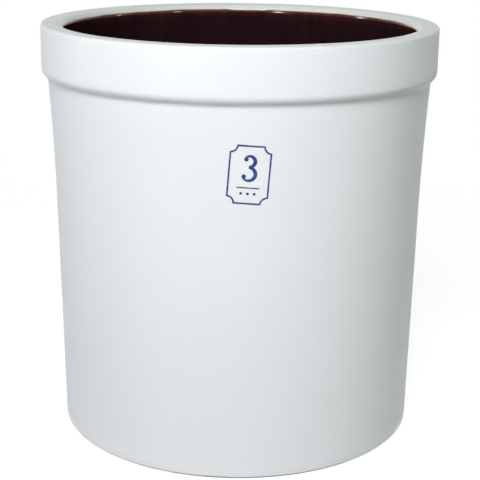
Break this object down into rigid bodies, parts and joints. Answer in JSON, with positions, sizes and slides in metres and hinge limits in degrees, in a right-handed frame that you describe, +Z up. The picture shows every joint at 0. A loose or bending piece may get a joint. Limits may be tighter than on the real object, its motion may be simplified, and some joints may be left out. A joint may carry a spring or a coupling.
{
  "type": "stoneware crock",
  "caption": "Open cylindrical stoneware crock with a thick collar round the mouth, white glaze outside, brown glaze inside and a blue capacity mark.",
  "frame": {"origin": "centre of the foot on the surface the crock stands on", "axes": "+Z up along the crock's own axis towards the mouth; -Y is the front, where the capacity mark is; +X is to the right of someone who faces the mark"},
  "size_m": [0.275, 0.275, 0.2865],
  "materials": {
    "stoneware_clay": "bare fired stoneware, buff, matte and slightly gritty",
    "white_glaze": "thick white glaze with a soft gloss and a faint orange peel",
    "brown_glaze": "deep glossy dark brown slip glaze",
    "cobalt_mark": "stamped cobalt blue under a clear gloss"
  },
  "bodies": {
    "root": {"clay_body": "stoneware_clay", "outer_glaze": "white_glaze", "liner_glaze": "brown_glaze", "mark_frame": "cobalt_mark", "mark_numeral": "cobalt_mark", "mark_tally": "cobalt_mark"}
  },
  "joints": []
}
